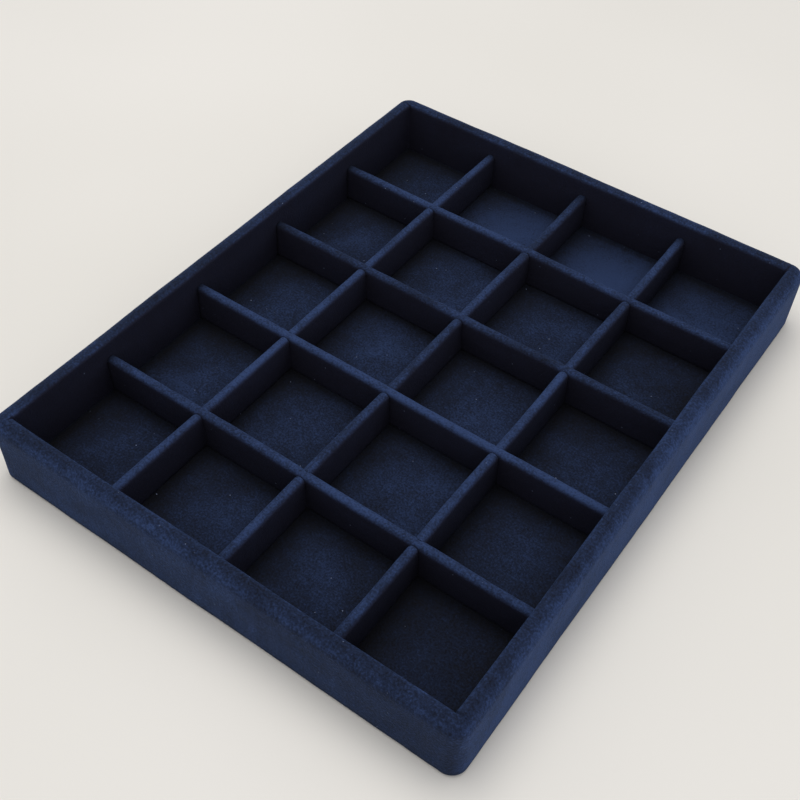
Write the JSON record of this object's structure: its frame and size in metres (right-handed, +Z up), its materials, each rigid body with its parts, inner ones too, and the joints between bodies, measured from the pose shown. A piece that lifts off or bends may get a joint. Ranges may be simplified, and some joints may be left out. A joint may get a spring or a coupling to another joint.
{
  "type": "coin display tray",
  "caption": "Shallow rectangular velvet-covered display tray with a rounded rim and a lift-out grid of slotted divider strips that makes square compartments.",
  "frame": {"origin": "middle of the underside, on the surface that the tray stands on", "axes": "+X along the short side, +Y along the long side towards the back wall, +Z up out of the open top"},
  "size_m": [0.24, 0.304, 0.035],
  "materials": {
    "velvet": "navy blue flocked velvet, matt with a soft sheen",
    "board": "raw medium-density fibreboard",
    "foam": "thin closed-cell foam sheet, matt",
    "felt": "black pressed felt",
    "brad_steel": "bright galvanised wire"
  },
  "bodies": {
    "tray": {"base_board": "board", "front_wall": "board", "back_wall": "board", "left_wall": "board", "right_wall": "board", "corner_brads": "brad_steel", "base_brads": "brad_steel", "velvet_wrap": "velvet", "underside_felt": "felt", "floor_pad": "foam", "floor_velvet": "velvet"},
    "divider_grid": {"cross_divider_1_core": "board", "cross_divider_1_sleeve": "velvet", "cross_divider_2_core": "board", "cross_divider_2_sleeve": "velvet", "cross_divider_3_core": "board", "cross_divider_3_sleeve": "velvet", "cross_divider_4_core": "board", "cross_divider_4_sleeve": "velvet", "long_divider_1_core": "board", "long_divider_1_sleeve": "velvet", "long_divider_2_core": "board", "long_divider_2_sleeve": "velvet", "long_divider_3_core": "board", "long_divider_3_sleeve": "velvet"}
  },
  "joints": [
    {"name": "grid_lift", "type": "slide", "parent": "tray", "child": "divider_grid", "axis": [0, 0, 1], "range_m": [0, 0.032]}
  ]
}
